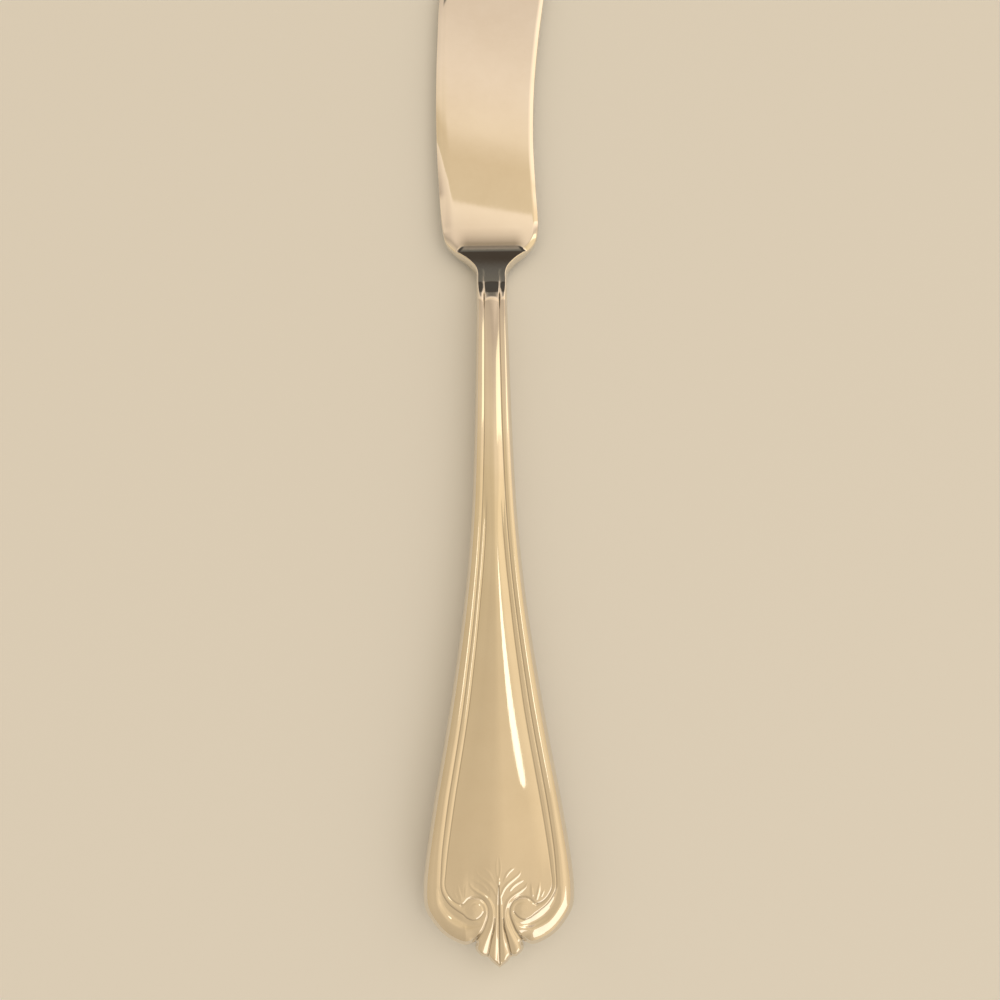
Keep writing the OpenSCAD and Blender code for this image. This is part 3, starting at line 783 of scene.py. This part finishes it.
def floor():
    mesh = bpy.data.meshes.new("floor")
    r = 3.0
    mesh.from_pydata([(-r, -r, 0), (r, -r, 0), (r, r, 0), (-r, r, 0)], [], [(0, 1, 2, 3)])
    obj = bpy.data.objects.new("floor", mesh)
    bpy.context.collection.objects.link(obj)
    m, nodes, links, bsdf = material("floor_paint")
    bsdf.inputs["Base Color"].default_value = (0.84, 0.88, 0.95, 1)
    bsdf.inputs["Roughness"].default_value = 0.85
    mesh.materials.append(m)


def softbox(name, at, aim, size, watts, color, shape="RECTANGLE"):
    data = bpy.data.lights.new(name, "AREA")
    data.shape = shape
    data.size, data.size_y = size
    data.energy = watts
    data.color = color
    obj = bpy.data.objects.new(name, data)
    bpy.context.collection.objects.link(obj)
    obj.location = at
    obj.rotation_mode = "QUATERNION"
    obj.rotation_quaternion = (Vector(aim) - Vector(at)).to_track_quat("-Z", "Y")
    return obj


# The room's brightness at angles from the zenith towards +Y, in degrees, with
# green and blue as shares of red: warm evening light, as in the photo
AHEAD = [
    (-90, 0.60, 0.80, 0.54), (-25, 0.79, 0.80, 0.53), (-3, 0.82, 0.795, 0.52), (9, 0.78, 0.795, 0.51),
    (17, 0.84, 0.795, 0.50), (21, 0.93, 0.81, 0.56), (24.5, 0.78, 0.81, 0.60), (27.5, 0.60, 0.81, 0.62),
    (30, 0.95, 0.81, 0.62), (31, 1.06, 0.82, 0.62), (32.1, 1.22, 0.83, 0.63),
]
# Its brightness past the edge of the ceiling, which is at EDGE_AT
EDGE_AT = 32.1
PAST = [
    (32.1, 0.90, 0.80, 0.53), (34.7, 0.90, 0.79, 0.52), (36, 1.08, 0.82, 0.60),
    (38.5, 1.07, 0.83, 0.65), (42, 0.94, 0.83, 0.66), (46, 0.88, 0.83, 0.66), (90, 0.55, 0.83, 0.70),
]
# The same across, from the left side to the right
ASIDE = [
    (-1, 0.82), (-0.5, 0.92), (-0.35, 0.89), (-0.07, 0.94), (0, 1.0), (0.07, 1.08), (0.3, 1.10),
    (0.45, 1.32), (0.65, 1.32), (1, 1.0),
]
# The dim end of the room: where it begins ahead, how far it reaches aside of its
# middle, and its colours
DIM_AHEAD = (0.694, 0.71)
DIM_MIDDLE = 0.12
DIM_ASIDE = (0.68, 0.54)
DIM = [
    (0.7, (0.22, 0.2, 0.17)), (0.712, (0.2, 0.185, 0.155)), (0.725, (0.137, 0.127, 0.113)),
    (0.731, (0.07, 0.055, 0.042)), (0.75, (0.08, 0.073, 0.064)),
]
# How the edges of the room's ceiling run, in degrees from the X axis, and how
# far they are drawn on to either side that way
SKEW = 8.5
SKEW_REACH = 0.018


def ramp(nodes, links, value, span, stops):
    """A colour ramp over the stops, which are places on the span with their colours."""
    place = nodes.new("ShaderNodeMapRange")
    place.inputs["From Min"].default_value = span[0]
    place.inputs["From Max"].default_value = span[1]
    links.new(value, place.inputs["Value"])
    out = nodes.new("ShaderNodeValToRGB")
    for k, (at, color) in enumerate(stops):
        stop = out.color_ramp.elements[k] if k < 2 else out.color_ramp.elements.new(1)
        stop.position = (at - span[0]) / (span[1] - span[0])
        stop.color = (*color, 1)
    links.new(place.outputs["Result"], out.inputs["Fac"])
    return out.outputs["Color"]


def step(nodes, links, value, span):
    """From 0 to 1, smoothly, as the value goes over the span."""
    out = nodes.new("ShaderNodeMapRange")
    out.interpolation_type = "SMOOTHSTEP"
    out.inputs["From Min"].default_value = span[0]
    out.inputs["From Max"].default_value = span[1]
    links.new(value, out.inputs["Value"])
    return out.outputs["Result"]


def room():
    """The room that the steel reflects. Its light changes with the angle towards +Y and with the side."""
    world = bpy.data.worlds.new("room")
    bpy.context.scene.world = world
    world.use_nodes = True
    nodes, links = world.node_tree.nodes, world.node_tree.links
    way = nodes.new("ShaderNodeTexCoord")
    turned = nodes.new("ShaderNodeMapping")
    turned.inputs["Rotation"].default_value = (0, 0, math.radians(SKEW))
    links.new(way.outputs["Generated"], turned.inputs["Vector"])
    split = nodes.new("ShaderNodeSeparateXYZ")
    links.new(turned.outputs["Vector"], split.inputs["Vector"])
    straight = nodes.new("ShaderNodeSeparateXYZ")
    links.new(way.outputs["Generated"], straight.inputs["Vector"])
    lean = nodes.new("ShaderNodeMapRange")
    reach = SKEW_REACH / math.sin(math.radians(SKEW))
    lean.inputs["From Min"].default_value = -reach
    lean.inputs["From Max"].default_value = reach
    lean.inputs["To Min"].default_value = -SKEW_REACH
    lean.inputs["To Max"].default_value = SKEW_REACH
    links.new(straight.outputs["X"], lean.inputs["Value"])
    forward = nodes.new("ShaderNodeMath")
    forward.operation = "MULTIPLY_ADD"
    forward.inputs[1].default_value = math.cos(math.radians(SKEW))
    links.new(straight.outputs["Y"], forward.inputs[0])
    links.new(lean.outputs["Result"], forward.inputs[2])
    angle = nodes.new("ShaderNodeMath")
    angle.operation = "ARCSINE"
    links.new(forward.outputs[0], angle.inputs[0])
    quarter = math.pi / 2
    levels = [
        ramp(
            nodes, links, angle.outputs[0], (-quarter, quarter),
            [(quarter * at / 90, (level, level * green, level * blue)) for at, level, green, blue in stops],
        )
        for stops in (AHEAD, PAST)
    ]
    ahead = nodes.new("ShaderNodeMix")
    ahead.data_type = "RGBA"
    past = step(nodes, links, angle.outputs[0], [math.radians(EDGE_AT + d) for d in (-0.04, 0.04)])
    links.new(past, ahead.inputs["Factor"])
    links.new(levels[0], ahead.inputs["A"])
    links.new(levels[1], ahead.inputs["B"])
    aside = ramp(nodes, links, split.outputs["X"], (-1, 1), [(at, (level,) * 3) for at, level in ASIDE])
    both = nodes.new("ShaderNodeMix")
    both.data_type = "RGBA"
    both.blend_type = "MULTIPLY"
    both.inputs["Factor"].default_value = 1
    links.new(ahead.outputs["Result"], both.inputs["A"])
    links.new(aside, both.inputs["B"])
    off = nodes.new("ShaderNodeMath")
    off.operation = "SUBTRACT"
    off.inputs[1].default_value = DIM_MIDDLE
    links.new(split.outputs["X"], off.inputs[0])
    size = nodes.new("ShaderNodeMath")
    size.operation = "ABSOLUTE"
    links.new(off.outputs[0], size.inputs[0])
    dim = nodes.new("ShaderNodeMath")
    dim.operation = "MULTIPLY"
    links.new(step(nodes, links, straight.outputs["Y"], DIM_AHEAD), dim.inputs[0])
    links.new(step(nodes, links, size.outputs[0], DIM_ASIDE), dim.inputs[1])
    end = nodes.new("ShaderNodeMix")
    end.data_type = "RGBA"
    links.new(dim.outputs[0], end.inputs["Factor"])
    links.new(both.outputs["Result"], end.inputs["A"])
    links.new(ramp(nodes, links, straight.outputs["Y"], (0.68, 0.78), DIM), end.inputs["B"])
    links.new(end.outputs["Result"], nodes["Background"].inputs["Color"])


# The photograph's view: the camera's place over the knife, in millimetres, how
# far it looks down and aside, in degrees, and its focal length as a share of the
# sensor's width
CAMERA_AT = (0.416, 27.86, 145)
LOOK_DOWN, LOOK_ASIDE = 75, 0.713
SENSOR_W = 36
FOCAL_SHARE = 0.963


def camera():
    data = bpy.data.cameras.new("camera")
    data.sensor_width = SENSOR_W
    data.lens = SENSOR_W * FOCAL_SHARE
    data.clip_start = 0.01
    data.clip_end = 20
    obj = bpy.data.objects.new("camera", data)
    bpy.context.collection.objects.link(obj)
    at = knife_to_row @ Vector(CAMERA_AT)
    pitch, turn = math.radians(LOOK_DOWN), math.radians(LOOK_ASIDE)
    look = LAY.to_3x3() @ Vector((
        math.cos(pitch) * math.sin(turn), math.cos(pitch) * math.cos(turn), -math.sin(pitch),
    ))
    obj.location = at
    obj.rotation_mode = "QUATERNION"
    obj.rotation_quaternion = look.to_track_quat("-Z", "Y")
    bpy.context.scene.camera = obj


floor()
room()
softbox("strip", (0.236, 0.058, 0.75), (0, 0.058, 0), (0.22, 0.1), 0.055, (1, 0.98, 0.86), "ELLIPSE")
softbox("far", (0.52, 0.39, 0.75), (0, 0.39, 0), (0.11, 0.52), 0.108, (1, 0.955, 0.62))
softbox("key", (0.44, -0.65, 0.58), (0, -0.06, 0), (0.72, 0.55), 0.69, (1, 1, 1))
camera()
bpy.context.scene.view_settings.view_transform = "Standard"
